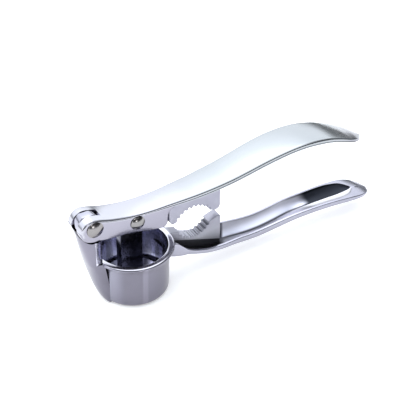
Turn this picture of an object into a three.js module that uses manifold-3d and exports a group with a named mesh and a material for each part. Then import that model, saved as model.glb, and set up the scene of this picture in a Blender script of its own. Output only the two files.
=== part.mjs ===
// Garlic press with nut-cracking jaws: a die-cast cup on a lower handle, an upper handle hinged on the
// cup's tower, and a plunger hung from the upper handle. Millimetres, +Z up, +X towards the handle tips.
// The origin is the middle of the cup's flat base, on the cup's axis.

import * as THREE from 'three';
import { mergeVertices } from 'three/addons/utils/BufferGeometryUtils.js';
import Module from 'manifold-3d';

const wasm = await Module();
wasm.setup();

// ---- driving dimensions ----

// running gaps
const slideGap = 0.3;        // between parts that slide past each other
const pinGap = 0.08;         // round a rivet's shank, and inside its cap
const headGap = 0.15;        // under a rivet's head
const shoulderGap = 0.5;     // between the handle's nose and the tower's shoulder

// cup
const cupHeight = 24;
const rimRadius = 19.4;
const baseRadius = 16.6;
const baseRound = 3;
const wallRadius = 17.3;     // outside of the wall just under the rim's flange
const flangeHeight = 1.5;
const rimRound = 0.9;
const boreAtRim = 16.1;
const boreAtFloor = 15.1;
const floorThickness = 2.2;
const holeRadius = 1;
const holePitch = 4;
const holeMargin = 1.4;      // solid ring between the outermost holes and the bore

// head of the press
const headHalfWidth = 6.6;
const slotHalfWidth = 2.45;
const hingeRise = 20.6;      // hinge axis above the rim
const hingeSetback = 1.7;    // hinge axis outside the rim
const pinDrop = 4.4;         // plunger axis below the hinge axis
const noseRadius = 7;
const noseRise = 5;          // from the hinge axis to the top of the nose
const tongueRadius = 4.8;
const tongueBack = 6.2;      // its radius behind the axis, where it fills the slot in the nose
const towerFront = 2.2;      // the tower's thick part ends this far ahead of the hinge axis
const towerLean = 6.8;       // how far the tower's back stands out past the hinge axis at the shoulder
const webSetback = 0.7;      // the tower's thin web starts this far outside the bore's mouth

// rivets
const hingeShank = 2.2;
const hingeHead = 4;
const plungerShank = 1.7;
const plungerHead = 3.5;
const headRise = 1.4;
const shankEnd = 0.5;        // the shank's end stands this far past the far cheek, inside its cap

// plunger
const pistonGap = 1.3;       // round the piston at the floor of the bore
const pistonThickness = 2.2;
const pistonLift = 1.7;      // piston above the floor with the handles as they stand
const pistonChamfer = 0.4;
const pistonSetback = 0.3;   // from the pin back to the piston's middle
const stemBehind = 6.8;
const stemAhead = 4.4;
const stemShoulder = 7;      // from the plunger pin down to the stem's full width
const eyeWall = 1.4;

// handles
const plateThickness = 1.2;
const flangeDepth = 2.5;
const upperWall = 1.5;
const gripReach = 79.2;      // upper handle, from the end of the jaws to its tip
const lowerReach = 84.7;     // lower handle, from the end of the jaws to its tip
const lipDepth = 2;
const lowerWall = 1.6;
const troughFloor = 1.5;

// jaws
const jawHalfThickness = 2.75;
const jawStart = 18.2;
const jawEnd = 45.2;
const jawMiddle = 31.1;
const upperBite = 10.7;      // radius of the upper row of teeth
const upperBiteRise = 0;     // its centre above the rim
const lowerBite = 9.5;
const lowerBiteRise = 3.4;
const toothDepth = 0.9;
const toothCount = 9;

// ---- places that follow from them ----

const hinge = { x: -(rimRadius + hingeSetback), z: cupHeight + hingeRise };
const pin = { x: 0, z: hinge.z - pinDrop };
const tongueHalf = slotHalfWidth - slideGap;
const pistonBottom = floorThickness + pistonLift;
const pistonTop = pistonBottom + pistonThickness;
const pistonRadius = boreAtFloor - pistonGap;
const webFront = -(boreAtRim + webSetback);
const clear = 60;            // longer than any cut has to be

// ---- materials ----

const chrome = (color) => new THREE.MeshStandardMaterial({ color, roughness: 0.18, metalness: 1 });
const steel = (color) => new THREE.MeshStandardMaterial({ color, roughness: 0.3, metalness: 1 });

// ---- helpers: three.js geometry in, manifold solids for cuts and joins, three.js geometry out ----

function solidOf(geometry) {
  const bare = geometry.clone();
  bare.deleteAttribute('normal');
  bare.deleteAttribute('uv');
  const merged = mergeVertices(bare, 1e-4);
  const mesh = new wasm.Mesh({
    numProp: 3,
    vertProperties: Float32Array.from(merged.attributes.position.array),
    triVerts: Uint32Array.from(merged.index.array),
  });
  return new wasm.Manifold(mesh);
}

function meshOf(name, solid, material) {
  const made = solid.getMesh();
  const geometry = new THREE.BufferGeometry();
  geometry.setAttribute('position', new THREE.BufferAttribute(Float32Array.from(made.vertProperties), 3));
  geometry.setIndex(new THREE.BufferAttribute(Uint32Array.from(made.triVerts), 1));
  geometry.computeVertexNormals();
  const mesh = new THREE.Mesh(geometry, material);
  mesh.name = name;
  return mesh;
}

// A side outline in x and z, given thickness across the press from y = near to y = far.
function sideSlab(shape, near, far, curveSegments = 16) {
  const depth = far - near;
  const slab = new THREE.ExtrudeGeometry(shape, { depth, bevelEnabled: false, curveSegments });
  slab.rotateX(Math.PI / 2);
  slab.translate(0, far, 0);
  return solidOf(slab);
}

// A cylinder across the press on the axis through (x, z).
function crossPin(at, radius, halfLength, sides = 32) {
  const cylinder = new THREE.CylinderGeometry(radius, radius, 2 * halfLength, sides);
  cylinder.translate(at.x, 0, at.z);
  return solidOf(cylinder);
}

function block(lo, hi) {
  const size = hi.map((value, i) => value - lo[i]);
  const box = new THREE.BoxGeometry(...size);
  box.translate(...lo.map((value, i) => value + size[i] / 2));
  return solidOf(box);
}

// A profile of [radius, z] points turned about the z axis.
function turned(points, segments = 64) {
  const lathe = new THREE.LatheGeometry(points.map(([r, z]) => new THREE.Vector2(r, z)), segments);
  lathe.rotateX(Math.PI / 2);
  return solidOf(lathe);
}

// Points of a quarter turn from one angle to another, in degrees.
function arcPoints(x, y, radius, from, to, count) {
  const points = [];
  for (let i = 0; i <= count; i += 1) {
    const angle = THREE.MathUtils.degToRad(from + (to - from) * i / count);
    points.push([x + radius * Math.cos(angle), y + radius * Math.sin(angle)]);
  }
  return points;
}

function polygon(points) {
  return new THREE.Shape(points.map(([x, y]) => new THREE.Vector2(x, y)));
}

// A smooth curve through stations of [x, z, half width, depth], and a body swept along it: the section
// has y from -1 to 1, stretched to the half width, and z from 0 down, placed by the depth rule.
function swept(stations, section, steps, depthRule) {
  const along = (pick) => new THREE.CatmullRomCurve3(stations.map(pick), false, 'centripetal');
  const place = along(([x, z]) => new THREE.Vector3(x, 0, z));
  const spread = along(([x, , half, depth]) => new THREE.Vector3(x, half, depth));
  const body = new THREE.ExtrudeGeometry(polygon(section), { depth: 1, steps, bevelEnabled: false });
  const position = body.attributes.position;
  for (let i = 0; i < position.count; i += 1) {
    const t = position.getZ(i);
    const { x, z } = place.getPoint(t);
    const size = spread.getPoint(t);
    position.setXYZ(i, x, position.getX(i) * size.y, z + depthRule(position.getY(i), size.z));
  }
  return solidOf(body);
}

// ---- cup, with its tower, lower handle and lower jaw: one casting ----

function cupOutside() {
  const wall = [wallRadius, cupHeight - flangeHeight - (rimRadius - wallRadius) / 2];
  const flange = [rimRadius, cupHeight - flangeHeight];
  const corner = arcPoints(baseRadius - baseRound, baseRound, baseRound, -90, 0, 6);
  const lip = arcPoints(rimRadius - rimRound, cupHeight - rimRound, rimRound, 0, 90, 4);
  return turned([[0, 0], ...corner, wall, flange, ...lip, [0, cupHeight]]);
}

function bore() {
  const draft = (boreAtRim - boreAtFloor) / (cupHeight - floorThickness);
  const over = 14;
  return turned([
    [0, floorThickness],
    [boreAtFloor, floorThickness],
    [boreAtRim, cupHeight],
    [boreAtRim + draft * over, cupHeight + over],
    [0, cupHeight + over],
  ]);
}

// Sieve holes on a triangular grid whose middle lies between three holes, so the base's centre is solid.
function sieveHoles() {
  const reach = boreAtFloor - holeMargin - holeRadius;
  const rowPitch = holePitch * Math.sqrt(3) / 2;
  const rows = Math.ceil(reach / rowPitch) + 1;
  const holes = [];
  for (let row = -rows; row <= rows; row += 1) {
    for (let column = -rows - 2; column <= rows + 2; column += 1) {
      const x = (column + (row & 1) / 2) * holePitch;
      const y = (row + 2 / 3) * rowPitch;
      if (Math.hypot(x, y) <= reach) {
        const hole = new THREE.CylinderGeometry(holeRadius, holeRadius, 3 * floorThickness, 8);
        hole.rotateX(Math.PI / 2);
        hole.translate(x, y, 0);
        holes.push(solidOf(hole));
      }
    }
  }
  return wasm.Manifold.union(holes);
}

// The tower's thick part: straight sides, a round back that leans outwards from the cup's foot to the
// shoulder, and a round seat about the hinge axis that the upper handle's nose turns in.
function towerBlock() {
  const top = hinge.z;
  const foot = baseRadius - 1;
  const lean = (z) => -(foot + (rimRadius + hingeSetback + towerLean - foot) * (z / (hinge.z - 3)) ** 0.65);
  const plan = new THREE.Shape();
  plan.moveTo(0, -headHalfWidth);
  plan.absarc(-headHalfWidth, 0, headHalfWidth, -Math.PI / 2, Math.PI / 2, true);
  plan.lineTo(0, headHalfWidth);
  const column = new THREE.ExtrudeGeometry(plan, { depth: top, steps: 9, bevelEnabled: false });
  const position = column.attributes.position;
  for (let i = 0; i < position.count; i += 1) {
    const x = position.getX(i);
    if (x < -1e-6) {
      position.setX(i, x + 2 * headHalfWidth + lean(position.getZ(i)));
    } else {
      position.setX(i, -rimRadius / 2);
    }
  }
  const overRim = block([hinge.x + towerFront, -clear, cupHeight], [clear, clear, clear]);
  const seat = crossPin(hinge, noseRadius + shoulderGap, clear, 64);
  const aboveSeat = block([hinge.x - clear, -clear, hinge.z - 3], [clear, clear, clear]);
  return solidOf(column).subtract(overRim).subtract(seat).subtract(aboveSeat);
}

// The thin web that carries the hinge: it stands on the rim and the tower and ends in a round tongue.
function tongue() {
  const root = cupHeight - 6;
  const heel = hinge.x + towerFront - 3;
  const outline = new THREE.Shape();
  outline.moveTo(heel, root);
  outline.lineTo(webFront, root);
  outline.lineTo(webFront, hinge.z - tongueRadius - 1);
  outline.lineTo(hinge.x + tongueRadius, hinge.z);
  outline.absarc(hinge.x, hinge.z, tongueRadius, 0, Math.PI * 0.5, false);
  outline.absarc(hinge.x, hinge.z, tongueBack, Math.PI * 0.72, Math.PI * 1.15, false);
  outline.lineTo(heel, hinge.z - noseRadius - shoulderGap - 1);
  return sideSlab(outline, -tongueHalf, tongueHalf);
}

// [x, rim height, half width, depth] of the lower handle; x from the cup's rim and then from the jaws' end
const grip = (share) => jawEnd + share * lowerReach;
const lowerStations = [
  [rimRadius - 5, cupHeight - 0.6, 10.2, 10],
  [rimRadius + 0.2, cupHeight - 2.6, 9.7, 9.5],
  [rimRadius + 4, cupHeight - 6.1, 9.3, 5.5],
  [rimRadius + 11, cupHeight - 10.1, 8.9, 5],
  [jawEnd - 8, cupHeight - 12, 8.8, 5.3],
  [grip(0), cupHeight - 12.6, 8.5, 5.8],
  [grip(0.09), cupHeight - 13, 7.9, 5.8],
  [grip(0.18), cupHeight - 13.2, 7.3, 5.8],
  [grip(0.28), cupHeight - 13.3, 6.9, 5.4],
  [grip(0.42), cupHeight - 12.2, 6.9, 4.4],
  [grip(0.54), cupHeight - 12, 7.2, 3.6],
  [grip(0.66), cupHeight - 12.3, 7.5, 3.2],
  [grip(0.78), cupHeight - 12.6, 7.9, 3],
  [grip(0.86), cupHeight - 13.2, 8, 2.8],
  [grip(0.92), cupHeight - 14.2, 7.2, 2.6],
  [grip(0.965), cupHeight - 15.3, 5.2, 2.4],
  [grip(0.99), cupHeight - 16.1, 3, 2.2],
  [grip(1), cupHeight - 16.4, 1.2, 2.1],
];

// A lip of even depth, and below it a trough that narrows to a keel.
const troughSection = [[-1, 0], [1, 0], [1, -1], [0.62, -1.5], [0.34, -2], [-0.34, -2], [-0.62, -1.5], [-1, -1]];
const troughDepth = (level, depth) => (level >= -1
  ? level * lipDepth
  : -lipDepth + (level + 1) * (depth - lipDepth));

function lowerHandle() {
  const outside = swept(lowerStations, troughSection, 44, troughDepth);
  const hollowStations = lowerStations
    .filter(([x]) => x > rimRadius && x < grip(0.9))
    .map(([x, z, half, depth]) => {
      const land = lowerWall + Math.max(0, (x - grip(0.5)) / lowerReach) * 11;
      return [x, z, half - land, depth - troughFloor];
    });
  const hollow = swept(hollowStations, [[-1, 2], [1, 2], [1, 0], [0.3, -1], [-0.3, -1], [-1, 0]], 32,
    (level, depth) => (level > 0 ? level : level * depth));
  return outside.subtract(hollow);
}

// A toothed edge on an arc about (jawMiddle, height), read from one end to the other.
function toothedArc(height, radius, from, to) {
  const points = [];
  const steps = 2 * toothCount;
  for (let i = 0; i <= steps; i += 1) {
    const reach = radius + (i % 2 ? toothDepth / 2 : -toothDepth / 2);
    const angle = THREE.MathUtils.degToRad(from + (to - from) * i / steps);
    points.push([jawMiddle + reach * Math.cos(angle), height + reach * Math.sin(angle)]);
  }
  return points;
}

function lowerJaw() {
  const height = cupHeight + lowerBiteRise;
  return sideSlab(polygon([
    [jawStart, cupHeight - 11],
    [jawStart + 4, cupHeight - 10.8],
    [jawStart + 11.8, cupHeight - 14.2],
    [jawEnd - 8, cupHeight - 16.6],
    [jawEnd, cupHeight - 17.6],
    [jawEnd, cupHeight + 0.6],
    [jawEnd - 2.2, cupHeight + 0.4],
    ...toothedArc(height, lowerBite, -30, -150),
    [jawStart + 1, cupHeight + 0.3],
    [jawStart - 1.2, cupHeight - 0.4],
  ]), -jawHalfThickness, jawHalfThickness);
}

function lowerBody() {
  const casting = cupOutside()
    .add(towerBlock())
    .add(tongue())
    .add(lowerHandle())
    .add(lowerJaw())
    .subtract(bore())
    .subtract(sieveHoles())
    .subtract(crossPin(hinge, hingeShank + pinGap, clear));
  return meshOf('cup_and_lower_handle', casting, chrome(0xc9c9d3));
}

// ---- upper handle with its upper jaw: one casting ----

// [x, top height, half width] of the top plate; x from the hinge, the cup's axis and the jaws' end
const reach = (share) => jawEnd + share * gripReach;
const upperStations = [
  [hinge.x + 1.2, hinge.z + noseRise, headHalfWidth],
  [hinge.x + 6, hinge.z + 3.9, headHalfWidth],
  [hinge.x + 13, hinge.z + 2.1, headHalfWidth],
  [pin.x, hinge.z + 0.7, headHalfWidth],
  [pin.x + 8, hinge.z + 0.1, headHalfWidth + 0.1],
  [jawStart - 2, hinge.z + 0.2, headHalfWidth + 0.5],
  [jawMiddle, hinge.z + 1, headHalfWidth + 1.5],
  [reach(0), hinge.z + 2.6, 8.7],
  [reach(0.14), hinge.z + 4.7, 9.1],
  [reach(0.26), hinge.z + 6.8, 9.4],
  [reach(0.38), hinge.z + 8.4, 9.6],
  [reach(0.48), hinge.z + 8.8, 9.5],
  [reach(0.58), hinge.z + 8.4, 9.3],
  [reach(0.68), hinge.z + 7.1, 8.8],
  [reach(0.78), hinge.z + 4.6, 8],
  [reach(0.87), hinge.z + 1.4, 6.9],
  [reach(0.94), hinge.z - 1.5, 5.3],
  [reach(0.98), hinge.z - 3.3, 3.4],
  [reach(1), hinge.z - 4.2, 1.4],
];

const plateSection = [[-1, -1], [1, -1], [1, -0.3], [0.9, 0], [-0.9, 0], [-1, -0.3]];

function topPlate() {
  const outside = swept(upperStations.map((s) => [...s, flangeDepth]), plateSection, 48,
    (level, depth) => level * depth);
  const hollowStations = upperStations
    .filter(([x]) => x > jawStart && x < reach(0.95))
    .map(([x, z, half]) => [x, z - plateThickness, half - upperWall, 2 * flangeDepth]);
  const hollow = swept(hollowStations, [[-1, -1], [1, -1], [1, 0], [-1, 0]], 30,
    (level, depth) => level * depth);
  const headStations = upperStations
    .filter(([x]) => x < jawStart + 1)
    .map(([x, z]) => [x, z - plateThickness, slotHalfWidth, 3 * flangeDepth]);
  const headHollow = swept(headStations, [[-1, -1], [1, -1], [1, 0], [-1, 0]], 16,
    (level, depth) => level * depth);
  return outside.subtract(hollow).subtract(headHollow);
}

// Outline of a cheek: round nose about the hinge, a gently falling lower edge, and a rounded front corner
// that sweeps up into the plate's flange.
function cheekOutline() {
  const cheekFront = jawStart - 2.5;
  const outline = new THREE.Shape();
  outline.moveTo(hinge.x + 1.5, hinge.z + noseRise);
  outline.lineTo(hinge.x, hinge.z + noseRise);
  outline.absellipse(hinge.x, hinge.z, noseRadius, noseRise, Math.PI / 2, Math.PI, false, 0);
  outline.absarc(hinge.x, hinge.z, noseRadius, Math.PI, Math.PI * 1.6, false);
  outline.splineThru([
    new THREE.Vector2(hinge.x + 6.9, hinge.z - 8.1),
    new THREE.Vector2(pin.x - 4.2, hinge.z - 9.2),
    new THREE.Vector2(pin.x + 6, hinge.z - 11.6),
    new THREE.Vector2(cheekFront - 2, hinge.z - 12.4),
  ]);
  outline.quadraticCurveTo(cheekFront - 0.5, hinge.z - 12.3, cheekFront - 0.4, hinge.z - 9.5);
  outline.quadraticCurveTo(cheekFront + 0.4, hinge.z - 4.4, cheekFront + 6, hinge.z - 2.2);
  outline.lineTo(cheekFront + 6, hinge.z - plateThickness + 0.4);
  outline.lineTo(pin.x, hinge.z - plateThickness + 0.7);
  outline.lineTo(hinge.x + 13, hinge.z + 0.9);
  return outline;
}

function upperJaw() {
  const height = cupHeight + upperBiteRise;
  const lobe = hinge.z - 15.8;
  return sideSlab(polygon([
    [jawStart, hinge.z - 1],
    [jawStart - 0.2, lobe + 2.2],
    ...arcPoints(jawStart + 2.2, lobe + 1.6, 1.6, 200, 300, 4),
    ...toothedArc(height, upperBite, 148, 32),
    ...arcPoints(jawEnd - 2.6, lobe + 2.2, 2.4, 240, 360, 5),
    [jawEnd, hinge.z + 1.8],
    [jawMiddle, hinge.z + 0.2],
  ]), -jawHalfThickness, jawHalfThickness);
}

function upperHandle() {
  const slot = block([hinge.x - clear, -slotHalfWidth, 0], [hinge.x + 4.6, slotHalfWidth, 2 * clear]);
  const casting = topPlate()
    .add(sideSlab(cheekOutline(), -headHalfWidth, -slotHalfWidth))
    .add(sideSlab(cheekOutline(), slotHalfWidth, headHalfWidth))
    .add(upperJaw())
    .subtract(slot)
    .subtract(crossPin(hinge, hingeShank + pinGap, clear))
    .subtract(crossPin(pin, plungerShank + pinGap, clear));
  return meshOf('upper_handle', casting, chrome(0xd6d6e0));
}

// ---- plunger: a flat stem on its pin, and the piston that fits the bore ----

function plunger() {
  const eye = plungerShank + eyeWall;
  const outline = new THREE.Shape();
  outline.moveTo(-stemBehind, pistonTop - 0.5);
  outline.lineTo(stemAhead, pistonTop - 0.5);
  outline.lineTo(stemAhead, pin.z - stemShoulder);
  outline.lineTo(eye, pin.z - 1);
  outline.absarc(pin.x, pin.z, eye, 0, Math.PI, false);
  outline.lineTo(-eye, pin.z - 1);
  outline.lineTo(-stemBehind, pin.z - stemShoulder);
  const piston = turned([
    [0, pistonBottom],
    [pistonRadius - pistonChamfer, pistonBottom],
    [pistonRadius, pistonBottom + pistonChamfer],
    [pistonRadius, pistonTop - pistonChamfer],
    [pistonRadius - pistonChamfer, pistonTop],
    [0, pistonTop],
  ]).translate(-pistonSetback, 0, 0);
  const casting = sideSlab(outline, -tongueHalf, tongueHalf)
    .add(piston)
    .subtract(crossPin(pin, plungerShank + pinGap, clear));
  return meshOf('plunger', casting, chrome(0xb9b9c2));
}

// ---- rivets: a domed head on a shank, and a domed cap pressed over the shank's end ----

// Turned profiles of [radius, distance along the shank], standing across the press at the given axis.
function acrossPress(points, at) {
  const lathe = new THREE.LatheGeometry(points.map(([r, y]) => new THREE.Vector2(r, y)), 32);
  lathe.translate(at.x, 0, at.z);
  return solidOf(lathe);
}

// A shallow dome of the given radius and rise, from its crown to its edge, on the face at y = face.
function domePoints(radius, rise, face) {
  const sphere = (radius ** 2 + rise ** 2) / (2 * rise);
  const half = Math.asin(radius / sphere);
  const points = [];
  for (let i = 0; i <= 6; i += 1) {
    const angle = half * i / 6;
    points.push([sphere * Math.sin(angle), face + rise - sphere * (1 - Math.cos(angle))]);
  }
  points[0][0] = 0;
  return points;
}

function rivet(name, at, shank, head) {
  const face = headHalfWidth + headGap;
  const dome = domePoints(head, headRise, face).map(([r, y]) => [r, -y]);
  const body = acrossPress([...dome, [shank, -face], [shank, face + shankEnd], [0, face + shankEnd]], at);
  return meshOf(name, body, steel(0xb8b3aa));
}

function rivetCap(name, at, shank, head) {
  const face = headHalfWidth + headGap;
  const socket = shank + pinGap;
  const rise = shankEnd + pinGap;
  const dome = domePoints(head, headRise, face).reverse();
  const body = acrossPress([[0, face + rise], [socket, face + rise], [socket, face], ...dome], at);
  return meshOf(name, body, steel(0xb8b3aa));
}

// ---- assembly ----

const press = new THREE.Group();
press.add(lowerBody());
press.add(upperHandle());
press.add(plunger());
press.add(rivet('hinge_rivet', hinge, hingeShank, hingeHead));
press.add(rivetCap('hinge_rivet_cap', hinge, hingeShank, hingeHead));
press.add(rivet('plunger_rivet', pin, plungerShank, plungerHead));
press.add(rivetCap('plunger_rivet_cap', pin, plungerShank, plungerHead));

export default press;
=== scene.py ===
# %% [markdown]
# # A garlic press in plated metal
#
# The press is three castings held by two rivets: a cup with its lower handle, an upper handle, and a plunger.
# Plated metal shows little but what it reflects, so this lesson is about smooth surfaces with crisp, rounded
# edges, about painted reflections and painted shade that fade gently along a casting, and about a studio
# that gives the metal something bright and something dark to reflect.
#
# The fixed frame comes first. It holds the engineering model, in metres, with +Z up, the cup's base at the
# origin and the handles along +X. Everything below is drawn in millimetres and scaled once, when a mesh is made.

import bmesh
import bpy
import numpy as np
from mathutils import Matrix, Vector


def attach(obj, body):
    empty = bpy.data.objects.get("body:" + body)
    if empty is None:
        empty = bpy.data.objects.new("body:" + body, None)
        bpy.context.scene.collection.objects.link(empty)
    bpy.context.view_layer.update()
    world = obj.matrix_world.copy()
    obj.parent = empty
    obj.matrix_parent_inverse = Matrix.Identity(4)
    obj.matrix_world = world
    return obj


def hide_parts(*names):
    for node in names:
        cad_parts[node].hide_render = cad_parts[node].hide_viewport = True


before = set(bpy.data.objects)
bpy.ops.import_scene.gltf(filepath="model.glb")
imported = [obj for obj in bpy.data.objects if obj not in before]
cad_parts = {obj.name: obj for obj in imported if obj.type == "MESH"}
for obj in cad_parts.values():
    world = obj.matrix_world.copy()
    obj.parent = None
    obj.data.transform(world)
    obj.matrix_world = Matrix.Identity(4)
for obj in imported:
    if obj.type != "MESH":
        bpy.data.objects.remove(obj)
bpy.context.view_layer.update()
MM = 0.001

# %% [markdown]
# ## Places that the pieces share
#
# Two pins run across the press along Y. The handle turns on the hinge, which stands on a tower behind the cup.
# The plunger hangs from the second pin, straight above the cup. The jaws stand between the cup and the grips.
# The numbers could be typed into each piece, but keeping them as named values makes every piece meet its
# neighbours.

# %% Shared measures, in millimetres
HINGE = np.array([-21.1, 44.6])
PIN = np.array([0.0, 40.2])
RIM, CUP_TOP, FLOOR, ROOT = 19.4, 24.0, 2.2, 16.5
HEAD_HALF, SLOT_HALF, TONGUE_HALF = 6.6, 2.45, 2.15
SEAT, NOSE = 7.5, 7.1
JAW_START, JAW_END, JAW_MIDDLE, JAW_HALF = 18.2, 45.2, 31.1, 2.75
LOWER_BOWL, UPPER_BOWL = (27.4, 9.5), (24.0, 10.7)
print("pins at", HINGE, PIN)

# %% [markdown]
# ## A surface from a grid of points
#
# A surface here is a grid of points: one ring of points for each step along the piece. Neighbouring rings are
# joined by four-sided faces. The other way, pushing vertices about by hand, is hard to change later, while a
# formula is easy to change. Every piece then goes through the same last step, which merges doubled points,
# turns the faces outwards and keeps the sharp edges crisp under smooth shading.

# %% From points to a mesh
def ring_faces(rings, count):
    """Faces between ring i and ring i + 1: corners (i, j), (i, j+1), (i+1, j+1), (i+1, j), j going round."""
    i, j = np.meshgrid(np.arange(rings - 1), np.arange(count), indexing="ij")
    after = (j + 1) % count
    corners = [i * count + j, i * count + after, (i + 1) * count + after, (i + 1) * count + j]
    return np.stack(corners, -1).reshape(-1, 4)


def add_mesh(name, points, faces, angle=32):
    """Object at the origin from points in millimetres: doubles merged, normals turned outwards, and edges
    sharper than the given angle kept crisp."""
    mesh = bpy.data.meshes.new(name)
    mesh.from_pydata((np.asarray(points) * MM).tolist(), [], [list(map(int, face)) for face in faces])
    work = bmesh.new()
    work.from_mesh(mesh)
    bmesh.ops.remove_doubles(work, verts=work.verts, dist=1e-6)
    bmesh.ops.dissolve_degenerate(work, edges=work.edges, dist=1e-7)
    bmesh.ops.recalc_face_normals(work, faces=work.faces)
    work.to_mesh(mesh)
    work.free()
    mesh.shade_smooth()
    mesh.set_sharp_from_angle(angle=np.radians(angle))
    piece = bpy.data.objects.new(name, mesh)
    bpy.context.scene.collection.objects.link(piece)
    print(f"{name}: {len(mesh.vertices)} points, {len(mesh.polygons)} faces")
    return piece


print("two rings of four points make", len(ring_faces(2, 4)), "faces")

# %% [markdown]
# ## The cup
#
# On the real press the cup is cast with a flat base, a rounded foot, a wall that widens a little upwards, a
# rolled rim and a tapered bore. A Screw modifier on a drawn profile could make it. Here one profile is carried
# round the Z axis by its formula, so the wall, the rim and the bore stay plain numbers.

# %% Circles and turned shapes
def arc(centre, radius, start, end, count):
    """Points on a circle: centre + radius (cos a, sin a), for a between two angles in degrees."""
    a = np.radians(np.linspace(start, end, count))
    return np.asarray(centre) + radius * np.stack([np.cos(a), np.sin(a)], 1)


def turned(name, profile, segments=128, axis="z", at=(0, 0), angle=32):
    """Surface of revolution: each profile point (radius, height) goes round as (r cos t, r sin t, height), and
    its axis stands at the given point of the plane square to it."""
    profile = np.asarray(profile, float)
    t = np.linspace(0, 2 * np.pi, segments, endpoint=False)
    r, height = profile[:, 0][:, None], profile[:, 1][:, None] + 0 * t
    first, second = at[0] + r * np.cos(t), at[1] + r * np.sin(t)
    ring = np.stack([first, height, second] if axis == "y" else [first, second, height], -1)
    return add_mesh(name, ring.reshape(-1, 3), ring_faces(len(profile), segments), angle)


print("a quarter circle of five points:", arc((0, 0), 1.0, 0, 90, 5).round(2).tolist())

# %% Cup
foot = arc((13.6, 3.0), 3.0, -90, 0, 11)
wall = [(16.75, 8), (17.15, 18.5)]
flare = [(17.45, 20.6), (17.8, 21.5), (18.35, 22.2), (19.0, 22.6), *arc((RIM - 0.3, 22.95), 0.3, -60, 0, 4)]
lip = arc((RIM - 0.9, CUP_TOP - 0.9), 0.9, 0, 90, 7)
mouth = arc((16.9, CUP_TOP - 0.45), 0.45, 90, 180, 5)
corner = arc((14.5, FLOOR + 0.7), 0.7, 0, -90, 5)
cup_profile = [(0, 0), (8, 0), *foot, *wall, *flare, *lip, *mouth, (16.0, 20), *corner, (8, FLOOR), (0, FLOOR)]
cup = turned("cup", cup_profile, 192, angle=40)

# %% [markdown]
# ## The sieve
#
# The floor of the cup is a sieve: round holes on a triangular grid. They could be part of the floor's own mesh,
# but a grid that bends round every hole is hard to lay out. So all the holes are drilled afterwards, by one
# Boolean step with one cutter that holds every drill.

# %% One Boolean cut
def cut(piece, cutter):
    """Piece minus cutter, worked out once by a Boolean modifier and kept as a plain mesh."""
    step = piece.modifiers.new("cut", "BOOLEAN")
    step.operation, step.solver, step.object = "DIFFERENCE", "EXACT", cutter
    graph = bpy.context.evaluated_depsgraph_get()
    done = bpy.data.meshes.new_from_object(piece.evaluated_get(graph))
    piece.modifiers.clear()
    piece.data = done
    bpy.data.objects.remove(cutter)
    print(f"{piece.name} cut: {len(done.polygons)} faces")
    return piece


print("cup before the cut:", len(cup.data.polygons), "faces")

# %% Drill the holes
PITCH, SIEVE_REACH, SIDES = 4.0, 12.7, 20
row, column = np.meshgrid(np.arange(-5, 6), np.arange(-8, 9), indexing="ij")
hole_x, hole_y = (column + (row & 1) / 2) * PITCH, (row + 2 / 3) * PITCH * np.sqrt(3) / 2
inside = np.hypot(hole_x, hole_y) <= SIEVE_REACH
circles = np.stack([hole_x[inside], hole_y[inside]], -1)[:, None] + arc((0, 0), 1.0, 0, 360, SIDES + 1)[:-1]
holes = len(circles)
drills = np.stack([np.concatenate([circles, np.full((holes, SIDES, 1), z)], -1) for z in (-1.0, 3.6)], 1)
sides = [face for k in range(holes) for face in ring_faces(2, SIDES) + 2 * SIDES * k]
ends = [range(SIDES * k, SIDES * (k + 1)) for k in range(2 * holes)]
cup = cut(cup, add_mesh("drills", drills.reshape(-1, 3), sides + ends))
print(holes, "holes")

# %% [markdown]
# ## The tower
#
# Behind the cup a tower leans outwards and carries the hinge. Seen from above it has straight sides and a
# round back, and its top is a hollow seat that the upper handle's nose turns in. It could be a box that is
# bent and cut. Here it is a stack of D-shaped rings whose top ring follows the seat, closed by shrinking that
# ring towards the middle plane, because a stack can follow the cup's round wall below the rim and turn into a
# flat front above it.

# %% The tower's rings
BACK, LEAN, TOWER_TOP, SHOULDER, FRONT = -27.9, 12.3, 41.7, 23.6, -17.4


def tube_of(name, rings, angle=32):
    """Closed body from rings of points, shape (rings, count, 3): quads along it and one face at each end."""
    n, count = rings.shape[:2]
    faces = [*ring_faces(n, count), range(count), range((n - 1) * count, n * count)]
    return add_mesh(name, rings.reshape(-1, 3), faces, angle)


def seat_height(x):
    """Height of the seat at x: the lower half of a circle about the hinge, never above the shoulder, and a
    step lower in front, where the cheeks' lower edge runs."""
    seat = HINGE[1] - np.sqrt(np.clip(SEAT**2 - (x - HINGE[0]) ** 2, 9.0, None))
    return np.where(x > -18.9, np.minimum(seat, 36.1), seat)


def tower_ring(z):
    """One D-shaped ring at height z: a round back that leans outwards as z to the power 0.65, straight sides,
    and a front that is the circle x^2 + y^2 = wall^2 below the shoulder. Above it the front is flat and slants
    back near each side. The round back never reaches past the front."""
    back = BACK + LEAN * (1 - np.clip(z / TOWER_TOP, 0, 1) ** 0.65)
    above = np.clip((z - SHOULDER) / 0.8, 0, 1)
    inner = 16.2 + 2.0 * np.clip((z - 7) / 14, 0, 1)
    across = np.linspace(HEAD_HALF, -HEAD_HALF, 15)
    curved = -np.sqrt(inner**2 - across**2)
    flat = FRONT - 4.0 * np.clip((np.abs(across) - 5.2) / 1.4, 0, 1)
    front = curved * (1 - above) + flat * above
    bend = max(-21.8 - back, 2.4 + max(SHOULDER - z, 0) * 0.24)
    bend = min(bend, 5.4, front[0] - back - 0.05)
    t = np.linspace(-np.pi / 2, np.pi / 2, 33)
    x = np.concatenate([back + bend - bend * np.cos(t), front])
    return x, np.concatenate([HEAD_HALF * np.sin(t), across])


print("the seat is", round(float(seat_height(HINGE[0])), 1), "mm high below the hinge")

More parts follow.
